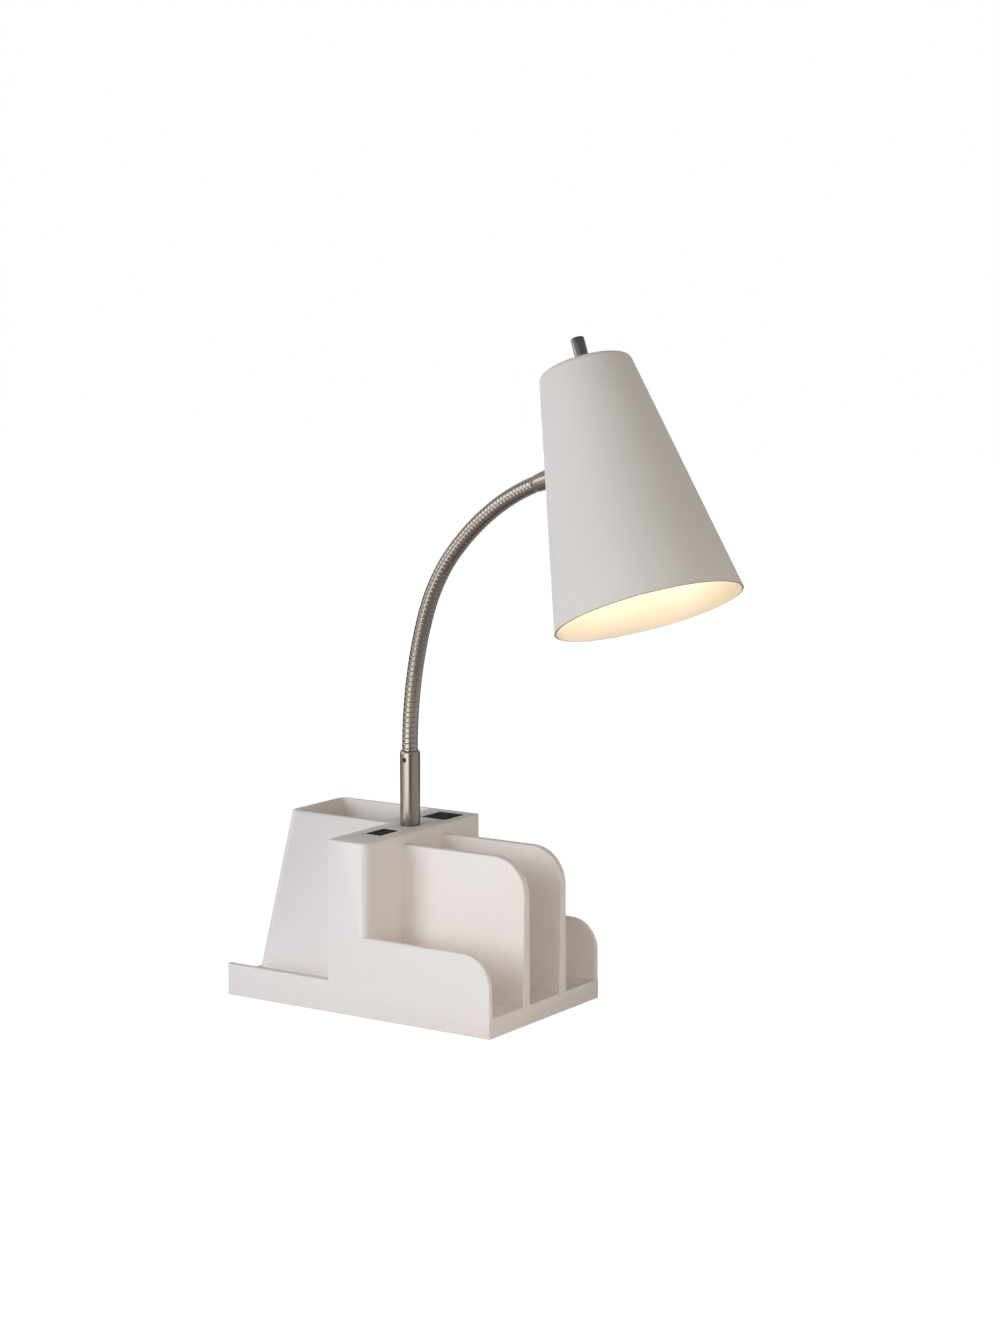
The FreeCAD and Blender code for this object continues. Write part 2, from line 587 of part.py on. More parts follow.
# Head: everything from the ferrule up is built about the shade's axis, with the crown at height 0
ferrule_start, ferrule_way = neck_at(flexible)
end_slope = math.asin(ferrule_way.z)
cone_angle = math.atan((size("shade_mouth") - size("shade_crown")) / size("shade_length"))
lean = end_slope + cone_angle - math.radians(size("entry_tilt"))
head_turn = FreeCAD.Rotation(outwards * math.cos(lean) + upwards * math.sin(lean), FreeCAD.Vector(),
                             upwards * math.cos(lean) - outwards * math.sin(lean), "ZXY")
entry_radius = size("shade_crown") + math.tan(cone_angle) * size("entry_depth")
entry = FreeCAD.Vector(-entry_radius, 0, -size("entry_depth"))
crown = ferrule_start + ferrule_way * size("ferrule_length") - head_turn.multVec(entry)
head = FreeCAD.Placement(crown, head_turn)
into_shade = FreeCAD.Rotation(FreeCAD.Vector(0, 1, 0), 90 + math.degrees(lean - end_slope))


def cross_rod(name, radius, start, end):
    # a rod in line with the neck's end, through the shade's wall, measured inwards from the wall
    bar = doc.addObject("Part::Cylinder", name)
    bind(bar, {"Radius": radius, "Height": f"{end} - ({start})"})
    bar.Placement = FreeCAD.Placement(entry + into_shade.multVec(FreeCAD.Vector(0, 0, 1)) * start,
                                      into_shade)
    return bar


def turned(name, sides, rings):
    # a turned form as a ruled loft over many-sided rings, each given as radius and height,
    # with a flat face in the place of each of the loft's
    sections = []
    for number, (radius, height) in enumerate(rings):
        section = doc.addObject("Part::RegularPolygon", f"{name}_ring_{number}")
        section.Polygon = int(size(sides))
        sections.append(bind(section, {"Circumradius": radius, ".Placement.Base.z": height}))
    loft = doc.addObject("Part::Loft", name + "_loft")
    loft.Sections = sections
    loft.Solid = loft.Ruled = True
    doc.recompute()
    faces = []
    for face in loft.Shape.Faces:
        corners = [vertex.Point for vertex in face.OuterWire.OrderedVertexes]
        faces.append(Part.Face(Part.makePolygon(corners + corners[:1])))
    skin = Part.Shell(faces)
    skin.sewShape()
    form = doc.addObject("Part::Feature", name)
    form.Shape = Part.makeSolid(skin)
    return form


def make_shade_block(name, inset, overrun="0"):
    # the space inside the outer skin by an inset, with a round shoulder below the crown
    steep = "((sizes.shade_mouth - sizes.shade_crown) / sizes.shade_length)"
    down = f"(sizes.shade_length + {overrun})"
    rings = [(f"sizes.shade_crown + {down} * {steep} - {inset} / cos(atan({steep}))", f"-{down}")]
    steps = int(size("shoulder_steps"))
    for step in range(steps, -1, -1):
        turn = f"((90deg - atan({steep})) * {step} / {steps})"
        reach = f"(sizes.shoulder_radius - {inset})"
        middle = f"sizes.shade_crown - sizes.shoulder_radius * tan((90deg - atan({steep})) / 2)"
        rings.append((f"{middle} + {reach} * sin{turn}" if step else middle,
                      f"-sizes.shoulder_radius + {reach} * cos{turn}"))
    return turned(name, "shade_sides", rings)


def make_shade():
    return cut("shade", make_shade_block("shade_outside", "0"),
               make_shade_block("shade_inside", "sizes.shade_thick", "1"),
               cross_rod("shade_side_hole", "sizes.hole_radius", -9, 20),
               rod("shade_top_hole", "sizes.hole_radius", "-9", "9"))


def make_ferrule():
    # a straight sleeve whose end is shaped to the cone, with a threaded stub through the wall
    length = size("ferrule_length")
    barrel = cross_rod("ferrule_barrel", "sizes.ferrule_radius", 1.5 - length, 3)
    lead_in = doc.addObject("Part::Cone", "ferrule_lead_in")
    bind(lead_in, {"Radius1": "sizes.ferrule_radius - 0.7", "Radius2": "sizes.ferrule_radius",
                   "Height": "1.5"})
    lead_in.Placement = FreeCAD.Placement(entry - into_shade.multVec(FreeCAD.Vector(0, 0, 1)) * length,
                                          into_shade)
    mating = make_shade_block("ferrule_mating", "0")
    seated = cut("ferrule_seated", fuse("ferrule_solid", barrel, lead_in), mating)
    stub = cross_rod("ferrule_stub", "sizes.nipple_radius", -6, 8)
    socket = cross_rod("ferrule_socket", "sizes.crest_radius + 0.1", -length - 1,
                       size("tail_in_ferrule") + 1 - length)
    bore = cross_rod("ferrule_bore", "sizes.neck_bore", -length, 10)
    return cut("ferrule", fuse("ferrule_with_stub", seated, stub), socket, bore)


def make_ferrule_nut():
    blank = cross_rod("ferrule_nut_blank", "8", -2, 5.5)
    inside = make_shade_block("ferrule_nut_inside", "sizes.shade_thick")
    seated = common("ferrule_nut_seated", blank, inside)
    return cut("ferrule_ring", seated, cross_rod("ferrule_nut_bore", "sizes.nipple_radius + 0.05", -9, 9))


keep(make_shade(), "lamp_shade", head)
keep(make_ferrule(), "shade_ferrule", head)
keep(make_ferrule_nut(), "ferrule_nut", head)


# Lamp holder with its rotary switch, hung from the crown by its threaded bush
def make_holder():
    barrel = rod("holder_barrel", "sizes.holder_radius", "-sizes.holder_length", "-sizes.shade_thick")
    bush = rod("holder_bush", "sizes.hole_radius - 0.3", "-sizes.shade_thick", "1.6")
    socket = rod("holder_socket", "14.5", "-sizes.holder_length - 1", "-27")
    shaft = rod("holder_shaft_bore", "sizes.shaft_radius + 0.05", "-14", "5")
    return cut("holder", fuse("holder_solid", barrel, bush), socket, shaft)


def make_sheet_tube(name, outer, bore, low, high):
    # a tube of thin sheet about the shade's axis
    return cut(name, turned(name + "_outside", "bulb_sides", [(outer, low), (outer, high)]),
               turned(name + "_inside", "bulb_sides", [(bore, f"{low} - 1"), (bore, f"{high} + 1")]))


def make_switch_nut():
    return cut("bush_hex", hexagon("bush_hex_blank", "sizes.switch_flats", "0", "1.5"),
               rod("bush_hex_bore", "sizes.hole_radius - 0.25", "-1", "3"))


def make_knob():
    body = rod("knob_body", "sizes.knob_radius", "sizes.knob_low", "sizes.knob_high - 0.6")
    crest = taper("knob_crest", "sizes.knob_radius", "sizes.knob_radius - 0.6",
                  "sizes.knob_high - 0.6", "sizes.knob_high")
    return cut("knob", fuse("knob_solid", body, crest),
               rod("knob_bore", "sizes.shaft_radius", "0", "sizes.knob_high - 2"))


def make_globe():
    # a frosted dome, as bands between rings on a sphere
    bands = int(size("globe_bands"))
    rings = []
    for band in range(bands + 1):
        turn = f"(15deg + 75deg * {band} / {bands})"
        rings.append((f"sizes.bulb_radius * sin{turn}",
                      f"-sizes.bulb_middle - sizes.bulb_radius * cos{turn}"))
    return turned("globe", "bulb_sides", rings)


def make_bulb_body():
    return turned("bulb_case", "bulb_sides",
                  [("sizes.bulb_radius", "-sizes.bulb_middle"), ("14", "-62.5"), ("12.8", "-62"),
                   ("12.8", "-35")])


keep(make_holder(), "lamp_holder", head)
keep(make_sheet_tube("screw_shell", "14.4", "13.6", "-sizes.holder_length + 1", "-28"),
     "holder_screw_shell", head)
keep(centred("holder_strip", "0", "0", "6", "12", "-30.5", "-27"), "holder_contact",
     head.multiply(FreeCAD.Placement(FreeCAD.Vector(), FreeCAD.Rotation(FreeCAD.Vector(1, 0, 0), 90))))
keep(make_switch_nut(), "switch_nut", head)
keep(make_knob(), "switch_knob", head)
keep(rod("shaft_rod", "sizes.shaft_radius", "-12", "sizes.knob_high - 2"), "switch_shaft",
     head.multiply(FreeCAD.Placement(FreeCAD.Vector(0, 0, -12), FreeCAD.Rotation())))
keep(make_globe(), "bulb_globe", head)
keep(make_bulb_body(), "bulb_body", head)
keep(make_sheet_tube("bulb_thread", "13.3", "12.8", "-60", "-36"), "bulb_cap", head)
keep(rod("bulb_tip", "4", "-35", "-30.5"), "bulb_contact",
     head.multiply(FreeCAD.Placement(FreeCAD.Vector(0, 0, -35), FreeCAD.Rotation())))

doc.recompute()
for thing in doc.Objects:
    if "Invalid" in thing.State or "Error" in thing.State:
        raise RuntimeError(f"{thing.Name} did not build: {thing.State}")
for piece in pieces:
    if piece.Shape.isNull() or not piece.Shape.isValid():
        raise RuntimeError(f"{piece.Label} has a bad shape")

os.makedirs("parts", exist_ok=True)
for piece in pieces:
    piece.Shape.exportStep(os.path.join("parts", piece.Label + ".step"))
    print(f"{piece.Label}: {len(piece.Shape.Solids)} solid(s), {piece.Shape.Volume / 1000:.2f} cm3")
print(f"{len(pieces)} pieces; neck {flexible:.0f} mm flexible, head leans {math.degrees(lean):.1f} degrees")
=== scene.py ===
import bpy
import math
from mathutils import Matrix, Vector


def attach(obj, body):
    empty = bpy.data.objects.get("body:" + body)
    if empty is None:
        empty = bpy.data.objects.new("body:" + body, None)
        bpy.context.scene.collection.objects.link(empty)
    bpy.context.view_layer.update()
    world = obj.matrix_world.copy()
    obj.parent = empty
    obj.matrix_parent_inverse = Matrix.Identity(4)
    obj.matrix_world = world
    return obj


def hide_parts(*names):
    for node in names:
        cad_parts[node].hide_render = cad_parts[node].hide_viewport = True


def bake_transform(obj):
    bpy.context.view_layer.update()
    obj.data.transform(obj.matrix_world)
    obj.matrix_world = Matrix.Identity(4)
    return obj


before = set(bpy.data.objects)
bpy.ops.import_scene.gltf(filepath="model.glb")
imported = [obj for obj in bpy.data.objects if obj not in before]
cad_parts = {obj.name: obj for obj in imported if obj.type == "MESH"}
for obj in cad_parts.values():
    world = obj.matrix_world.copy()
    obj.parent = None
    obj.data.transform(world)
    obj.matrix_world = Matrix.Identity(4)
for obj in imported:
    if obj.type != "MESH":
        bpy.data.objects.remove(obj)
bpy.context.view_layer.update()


# Small helpers. Sizes are in millimetres, and mm() turns them into Blender's metres.
def mm(value):
    return value * 0.001


def takeUp(piece):
    # makes this piece the only selected one, and active
    bpy.ops.object.select_all(action="DESELECT")
    piece.select_set(True)
    bpy.context.view_layer.objects.active = piece
    return piece


def named(name):
    # gives the primitive that was just added its name
    piece = bpy.context.object
    piece.name = piece.data.name = name
    return takeUp(piece)


def finishModifier(piece, kind, **settings):
    takeUp(piece)
    modifier = piece.modifiers.new(kind.title(), kind)
    for setting, value in settings.items():
        setattr(modifier, setting, value)
    bpy.ops.object.modifier_apply(modifier=modifier.name)


def smoothSurface(piece, angle=35):
    takeUp(piece)
    bpy.ops.object.shade_smooth_by_angle(angle=math.radians(angle))


def roundEdges(piece, width, segments=3, angle=35):
    finishModifier(piece, "BEVEL", width=mm(width), segments=segments, limit_method="ANGLE",
                   angle_limit=math.radians(angle), harden_normals=False)


def chooseFaces(piece, wanted):
    # leaves edit mode open with only the wanted faces selected
    takeUp(piece)
    bpy.ops.object.mode_set(mode="EDIT")
    bpy.ops.mesh.select_all(action="DESELECT")
    bpy.ops.mesh.select_mode(type="FACE")
    bpy.ops.object.mode_set(mode="OBJECT")
    for face in piece.data.polygons:
        face.select = wanted(face)
    bpy.ops.object.mode_set(mode="EDIT")


def settle(piece, place):
    # moves a finished piece by a matrix, and puts that place into its mesh
    takeUp(piece)
    piece.matrix_world = place
    bpy.ops.object.transform_apply(location=True, rotation=True, scale=True)


def turnPiece(name, steps, sides=96):
    # as on a lathe: a disc whose top face is drawn up, out or in, to each radius and height in turn
    radius, height = steps[0]
    bpy.ops.object.select_all(action="DESELECT")
    bpy.ops.mesh.primitive_circle_add(vertices=sides, radius=mm(radius), fill_type="NGON",
                                      location=(0, 0, mm(height)))
    piece = named(name)
    bpy.ops.object.transform_apply(location=True, rotation=False, scale=False)
    bpy.ops.object.mode_set(mode="EDIT")
    bpy.ops.mesh.select_mode(type="FACE")
    bpy.ops.mesh.select_all(action="SELECT")
    for nextRadius, nextHeight in steps[1:]:
        rise = {"value": (0, 0, mm(nextHeight - height))}
        bpy.ops.mesh.extrude_region_move(TRANSFORM_OT_translate=rise)
        bpy.ops.transform.resize(value=(nextRadius / radius, nextRadius / radius, 1),
                                 center_override=(0, 0, mm(nextHeight)))
        radius, height = nextRadius, nextHeight
    bpy.ops.mesh.select_all(action="SELECT")
    bpy.ops.mesh.normals_make_consistent(inside=False)
    bpy.ops.object.mode_set(mode="OBJECT")
    return piece


def standIn(along, across, place):
    # a matrix that stands a turned piece on a place, with its axis along a direction
    aside = along.cross(across)
    return Matrix.Translation(place) @ Matrix((across, aside, along)).transposed().to_4x4()


nodeCopies = {"mergeWithin": 0.005, "flatWithin": 1, "edgeAngle": 40, "segments": 2}


def softCopy(node, name, width):
    # a copy of a CAD node, its loose triangles merged into whole faces and its edges rounded
    bpy.ops.object.select_all(action="DESELECT")
    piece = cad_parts[node].copy()
    piece.data = piece.data.copy()
    piece.parent = None
    piece.name = piece.data.name = name
    for key in list(piece.keys()):
        del piece[key]
    bpy.context.scene.collection.objects.link(piece)
    takeUp(piece)
    bpy.ops.object.mode_set(mode="EDIT")
    bpy.ops.mesh.select_all(action="SELECT")
    bpy.ops.mesh.remove_doubles(threshold=mm(nodeCopies["mergeWithin"]))
    bpy.ops.mesh.dissolve_limited(angle_limit=math.radians(nodeCopies["flatWithin"]))
    bpy.ops.object.mode_set(mode="OBJECT")
    piece.data.materials.clear()
    roundEdges(piece, width, nodeCopies["segments"], nodeCopies["edgeAngle"])
    smoothSurface(piece, nodeCopies["edgeAngle"])
    return piece


# Materials. Colours are sRGB hex values, and the sizes and depths of patterns are in millimetres.
# Real moulding grain and brush lines are a quarter of these sizes or finer, so both are drawn as
# coarse as they need to be to show.
patterns = {
    "meltCloud": 70, "coatCloud": 45, "metalCloud": 6, "plateCloud": 1.5,
    "brushLines": 0.35, "brushDepth": 0.0006, "brushStretch": 0.02,
    "rolledGrain": 0.5, "rolledDepth": 0.002, "domeGrain": 0.6, "domeDepth": 0.01,
}


def paint(code):
    channels = [int(code[place:place + 2], 16) / 255 for place in (0, 2, 4)]
    linear = [c / 12.92 if c <= 0.04045 else ((c + 0.055) / 1.055) ** 2.4 for c in channels]
    return (*linear, 1)


def perMetre(size):
    return 1000 / size


def newMaterial(name):
    material = bpy.data.materials.new(name)
    material.use_nodes = True
    material.node_tree.nodes.clear()
    return material


def addNode(material, kind, settings=None, links=()):
    # links are (input, source node, output)
    tree = material.node_tree
    node = tree.nodes.new(kind)
    for key, value in (settings or {}).items():
        if isinstance(key, str) and hasattr(node, key):
            setattr(node, key, value)
        else:
            node.inputs[key].default_value = value
    for socket, source, output in links:
        tree.links.new(source.outputs[output], node.inputs[socket])
    return node


def objectPlace(material, scale=(1, 1, 1), turn=(0, 0, 0)):
    coordinates = addNode(material, "ShaderNodeTexCoord")
    return addNode(material, "ShaderNodeMapping", {"Scale": scale, "Rotation": turn},
                   [("Vector", coordinates, "Object")])


def mottled(material, first, second, size, vector):
    # two near colours that drift into each other over a real distance
    cloud = addNode(material, "ShaderNodeTexNoise", {"Scale": perMetre(size), "Detail": 3},
                    [("Vector", vector, "Vector")])
    colours = {"data_type": "RGBA", 6: paint(first), 7: paint(second)}
    return addNode(material, "ShaderNodeMix", colours, [(0, cloud, "Fac")])


def grained(material, size, depth, vector, detail=2):
    # a bump from fine grain, and the grain itself
    grain = addNode(material, "ShaderNodeTexNoise", {"Scale": perMetre(size), "Detail": detail},
                    [("Vector", vector, "Vector")])
    bump = addNode(material, "ShaderNodeBump", {"Strength": 1, "Distance": mm(depth)},
                   [("Height", grain, "Fac")])
    return bump, grain


def paintedEdgeReflection(material, tint, shade):
    # painted reflection: plated rounds are darkened towards their outlines, standing in for their
    # mirror of the far side of the room
    edge = addNode(material, "ShaderNodeLayerWeight", {"Blend": 0.5})
    share = addNode(material, "ShaderNodeMapRange", {"From Min": 0.4, "From Max": 0.9, "To Max": 0.8},
                    [("Value", edge, "Facing")])
    return addNode(material, "ShaderNodeMix", {"data_type": "RGBA", 7: paint(shade)},
                   [(0, share, "Result"), (6, tint, 2)])


def finished(material, settings, links, bump):
    shader = addNode(material, "ShaderNodeBsdfPrincipled", settings,
                     [*links, ("Normal", bump, "Normal")])
    addNode(material, "ShaderNodeOutputMaterial", links=[("Surface", shader, "BSDF")])
    return material


def mouldedPlastic(name, light, dark, roughness, grainSize, grainDepth, specular=0.5):
    # moulded or extruded: an even matt colour, a touch cloudy where the melt cooled, finely textured
    material = newMaterial(name)
    vector = objectPlace(material)
    tint = mottled(material, light, dark, patterns["meltCloud"], vector)
    bump, grain = grained(material, grainSize, grainDepth, vector)
    polish = addNode(material, "ShaderNodeMapRange",
                     {"To Min": roughness - 0.05, "To Max": roughness + 0.05},
                     [("Value", grain, "Fac")])
    return finished(material, {"IOR": 1.54, "Specular IOR Level": specular},
                    [("Base Color", tint, 2), ("Roughness", polish, "Result")], bump)


def powderCoat(name, light, dark, roughness, peelSize, peelDepth):
    # polyester powder baked on spun steel: matt, its highlight broken up by a shallow orange peel
    material = newMaterial(name)
    vector = objectPlace(material)
    tint = mottled(material, light, dark, patterns["coatCloud"], vector)
    bump = grained(material, peelSize, peelDepth, vector, detail=1)[0]
    return finished(material, {"Roughness": roughness, "IOR": 1.5}, [("Base Color", tint, 2)], bump)


def satinNickel(name, light, dark, shade, roughness, axis):
    # nickel plate brushed on the lathe: warm grey, its highlight drawn out along the axis by fine
    # rings, its outlines darkened by a painted reflection
    material = newMaterial(name)
    turn = Vector(axis).rotation_difference(Vector((0, 0, 1))).to_euler()
    vector = objectPlace(material, (patterns["brushStretch"], patterns["brushStretch"], 1), turn)
    tint = paintedEdgeReflection(material, mottled(material, light, dark, patterns["plateCloud"], vector), shade)
    bump, lines = grained(material, patterns["brushLines"], patterns["brushDepth"], vector, detail=4)
    sheen = addNode(material, "ShaderNodeMapRange",
                    {"To Min": roughness - 0.03, "To Max": roughness + 0.04},
                    [("Value", lines, "Fac")])
    return finished(material, {"Metallic": 1},
                    [("Base Color", tint, 2), ("Roughness", sheen, "Result")], bump)


def plainMetal(name, light, dark, roughness, shade=None):
    # rolled or pressed metal: small drifts of colour and gloss, no direction; given a shade colour, its
    # outlines are darkened by a painted reflection
    material = newMaterial(name)
    vector = objectPlace(material)
    tint = mottled(material, light, dark, patterns["metalCloud"], vector)
    if shade:
        tint = paintedEdgeReflection(material, tint, shade)
    bump, grain = grained(material, patterns["rolledGrain"], patterns["rolledDepth"], vector)
    sheen = addNode(material, "ShaderNodeMapRange",
                    {"To Min": roughness - 0.05, "To Max": roughness + 0.05},
                    [("Value", grain, "Fac")])
    return finished(material, {"Metallic": 1},
                    [("Base Color", tint, 2), ("Roughness", sheen, "Result")], bump)


def opalDome(name, colour, glow, strength):
    # opal polycarbonate lit from inside: warm, even light with no hot point
    material = newMaterial(name)
    vector = objectPlace(material)
    bump = grained(material, patterns["domeGrain"], patterns["domeDepth"], vector)[0]
    return finished(material, {"Base Color": paint(colour), "Roughness": 0.4, "IOR": 1.58,
                               "Emission Color": paint(glow), "Emission Strength": strength}, [], bump)


# Each finish is a name, two near colours and a roughness, then the size and depth of its grain
finishes = {
    # the housing: warm white, finely spark-textured, with a soft and wide highlight
    "whiteAbs": mouldedPlastic("moulded white ABS", "F5ECE5", "F1E7DF", 0.55, 0.7, 0.012),
    "greyAbs": mouldedPlastic("moulded grey ABS", "8E8C8A", "858381", 0.55, 0.8, 0.02),
    # the ports: nearly black and dull, so that only their edges catch light
    "blackPort": mouldedPlastic("moulded black polycarbonate", "120E0C", "171210",
                                0.8, 0.6, 0.01, specular=0.15),
    "charcoalPort": mouldedPlastic("moulded charcoal polycarbonate", "1B1918", "211F1D",
                                   0.8, 0.6, 0.01, specular=0.15),
    # fine closed cells that take all shine off the pad
    "foam": mouldedPlastic("closed-cell EVA foam", "24272A", "2D3033", 0.8, 0.9, 0.12),
    # hard, dense and slightly glossy, as holders and bulb collars are
    "phenolic": mouldedPlastic("pressed white phenolic", "DAD5CB", "CFC9BE", 0.35, 1.5, 0.01),
    "board": mouldedPlastic("solder-masked glass epoxy", "1E4A33", "24553B", 0.3, 0.5, 0.01),
    "jacket": mouldedPlastic("extruded PVC", "1D1D1D", "242424", 0.5, 1.2, 0.02),
    # the shade: paler and duller outside, smoother inside where it throws the light, and a rim darkened
    # as painted shade
    "shadeOutside": powderCoat("white powder coat", "EAE2DA", "E5DDD4", 0.75, 1.1, 0.02),
    "shadeInside": powderCoat("white reflector coat", "C8C3BB", "C2BCB3", 0.35, 1.1, 0.02),
    "rimPaintedShade": powderCoat("rim coat, darkened as painted shade", "8F867D", "857C74", 0.45, 1.1, 0.01),
    # the sleeve is brushed, and the wound strip of the neck is too narrow to show brush lines
    # the third colour of each nickel is a painted reflection that darkens its outlines
    "sleeveNickel": satinNickel("satin nickel, upright", "80776E", "79706A", "3E3833", 0.24, (0, 0, 1)),
    "neckNickel": plainMetal("satin nickel, wound", "857C74", "7D756D", 0.2, "3E3833"),
    "steel": plainMetal("zinc-plated steel", "A8AAAC", "96989B", 0.35),
    "blackSteel": plainMetal("blackened steel", "2A2A2C", "1E1E20", 0.4),
    "brass": plainMetal("stamped brass", "B08D4A", "9C7B3D", 0.3),
    "aluminium": plainMetal("drawn aluminium", "C2C3C4", "B2B3B5", 0.28),
    "litDome": opalDome("opal polycarbonate, lit", "FFF6E6", "FFECCB", 54),
}
print("materials made")


def dress(piece, material, body=None):
    # a stretch of the neck is given no body
    piece.data.materials.clear()
    piece.data.materials.append(material)
    if body:
        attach(piece, body)


# Organizer housing
housing = {"edge": 0.55}


def makeHousing():
    piece = softCopy("organizer_housing", "organizer_moulding", housing["edge"])
    dress(piece, finishes["whiteAbs"], "base")
    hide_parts("organizer_housing")


makeHousing()
print("housing made")

# Ports in the tower top: CAD node, name of its piece, finish
ports = {
    "edge": 0.3,
    "faces": (("usb_housing", "usb_bezel", "blackPort"),
              ("outlet_housing", "outlet_face", "charcoalPort")),
}


def makePorts():
    for node, name, finish in ports["faces"]:
        piece = softCopy(node, name, ports["edge"])
        dress(piece, finishes[finish], "base")
        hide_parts(node)


makePorts()
print("ports made")

# Gooseneck: a close-wound steel hose on three tangent arcs, each a length and a turn in degrees
neck = {
    "foot": (-6.5, 7.5, 196), "plane": -18.5, "arcs": ((109, 22), (66, 25.5), (118, 25.5)),
    "tail": 10, "lineSteps": 64,
    "crest": 6.15, "valley": 5.97, "pitch": 4.2, "flat": 3.4,
    "profilePoints": 18, "aroundEach": 48, "mergeWithin": 0.01, "smoothBelow": 10,
    "stretches": 6, "blendReach": 0.46,
    "bodies": ("base", "neck_1", "neck_2", "neck_3", "neck_4", "head"),
    "skins": (("root", "1"), ("2",), ("3",), ("4",), ("tip",)),
}
flexible = sum(length for length, turn in neck["arcs"])
plane = math.radians(neck["plane"])
outwards = Vector((math.cos(plane), math.sin(plane), 0))
upwards = Vector((0, 0, 1))


def alongNeck(distance):
    # the point and the direction of the middle line, at a distance from the sleeve's mouth
    point = Vector(neck["foot"]) + upwards * min(distance, 0)
    heading, ahead = math.pi / 2, max(distance, 0)
    for length, degrees in neck["arcs"]:
        turn = math.radians(degrees)
        walked = min(ahead, length)
        after = heading - turn * walked / length
        point += length / turn * (outwards * (math.sin(heading) - math.sin(after))
                                  + upwards * (math.cos(after) - math.cos(heading)))
        heading, ahead = after, ahead - walked
    direction = outwards * math.cos(heading) + upwards * math.sin(heading)
    return (point + direction * ahead) * mm(1), direction


def makeMiddleLine():
    # a smooth curve through the ends of the arcs, with a straight tail at each end
    stops, spans = [-neck["tail"], 0], [(neck["tail"], 0)]
    for length, degrees in neck["arcs"]:
        stops.append(stops[-1] + length)
        spans.append((length, math.radians(degrees)))
    stops.append(stops[-1] + neck["tail"])
    spans.append((neck["tail"], 0))
    reach = [mm(length / 3 if turn == 0 else 4 / 3 * math.tan(turn / 4) * length / turn)
             for length, turn in spans]
    bpy.ops.object.select_all(action="DESELECT")
    bpy.ops.curve.primitive_bezier_curve_add(location=(0, 0, 0))
    line = bpy.context.object
    line.data.resolution_u = neck["lineSteps"]
    points = line.data.splines[0].bezier_points
    points.add(len(stops) - 2)
    for number, (stop, point) in enumerate(zip(stops, points)):
        place, direction = alongNeck(stop)
        point.handle_left_type = point.handle_right_type = "FREE"
        point.co = place
        point.handle_left = place - direction * reach[max(number - 1, 0)]
        point.handle_right = place + direction * reach[min(number, len(reach) - 1)]
    return line, sum(length for length, turn in spans)


def cutMesh(point, direction, side):
    # cuts all of the open mesh with a plane, takes off one side and closes the cut
    bpy.ops.mesh.select_all(action="SELECT")
    bpy.ops.mesh.bisect(plane_co=point, plane_no=direction, use_fill=True,
                        clear_inner=side == "inner", clear_outer=side == "outer")


def makeProfile():
    # the outer half of a round, pressed flat at its crown, at its distance from the axis
    pitch, rise = neck["pitch"], neck["crest"] - neck["valley"]
    bpy.ops.object.select_all(action="DESELECT")
    bpy.ops.mesh.primitive_circle_add(vertices=neck["profilePoints"], radius=mm(pitch / 2),
                                      fill_type="NOTHING", rotation=(math.radians(90), 0, 0))
    profile = named("winding")
    bpy.ops.object.transform_apply(location=False, rotation=True, scale=False)
    bpy.ops.object.mode_set(mode="EDIT")
    bpy.ops.mesh.select_mode(type="VERT")
    bpy.ops.mesh.select_all(action="DESELECT")
    bpy.ops.object.mode_set(mode="OBJECT")
    for vertex in profile.data.vertices:
        vertex.select = vertex.co.x < -mm(neck["mergeWithin"])
    bpy.ops.object.mode_set(mode="EDIT")
    bpy.ops.mesh.delete(type="VERT")
    bpy.ops.mesh.select_all(action="SELECT")
    bpy.ops.transform.resize(value=(rise / (pitch / 2), 1, 1), center_override=(0, 0, 0))
    bpy.ops.transform.translate(value=(mm(neck["valley"]), 0, 0))
    bpy.ops.mesh.select_all(action="DESELECT")
    bpy.ops.object.mode_set(mode="OBJECT")
    for vertex in profile.data.vertices:
        vertex.select = abs(vertex.co.z) < mm(neck["flat"] / 2)
    bpy.ops.object.mode_set(mode="EDIT")
    bpy.ops.transform.resize(value=(0, 1, 1), center_override=(mm(neck["crest"]), 0, 0))
    bpy.ops.object.mode_set(mode="OBJECT")
    return profile


def makeWinding():
    # the profile screwed up into a close helix, cut to length and bent along the middle line
    line, total = makeMiddleLine()
    winding = makeProfile()
    turns = math.ceil(total / neck["pitch"]) + 2
    finishModifier(winding, "SCREW", axis="Z", angle=math.radians(360), iterations=turns,
                   screw_offset=mm(neck["pitch"]), steps=neck["aroundEach"],
                   render_steps=neck["aroundEach"], use_merge_vertices=False)
    bpy.ops.object.mode_set(mode="EDIT")
    bpy.ops.mesh.select_all(action="SELECT")
    bpy.ops.mesh.remove_doubles(threshold=mm(neck["mergeWithin"]))
    bpy.ops.transform.translate(value=(0, 0, -mm(neck["pitch"])))
    cutMesh((0, 0, 0), upwards, "inner")
    cutMesh((0, 0, mm(total)), upwards, "outer")
    bpy.ops.mesh.select_all(action="SELECT")
    bpy.ops.mesh.normals_make_consistent(inside=False)
    bpy.ops.object.mode_set(mode="OBJECT")
    finishModifier(winding, "CURVE", object=line, deform_axis="POS_Z")
    bpy.data.objects.remove(line)
    return winding


def cutStretch(winding, name, start, end):
    # a copy of the winding between two places along it, its cut ends closed
    bpy.ops.object.select_all(action="DESELECT")
    piece = winding.copy()
    piece.data = winding.data.copy()
    piece.name = piece.data.name = name
    bpy.context.scene.collection.objects.link(piece)
    takeUp(piece)
    bpy.ops.object.mode_set(mode="EDIT")
    if start is not None:
        cutMesh(*alongNeck(start), "inner")
    if end is not None:
        cutMesh(*alongNeck(end), "outer")
    bpy.ops.object.mode_set(mode="OBJECT")
    smoothSurface(piece, neck["smoothBelow"])
    return piece


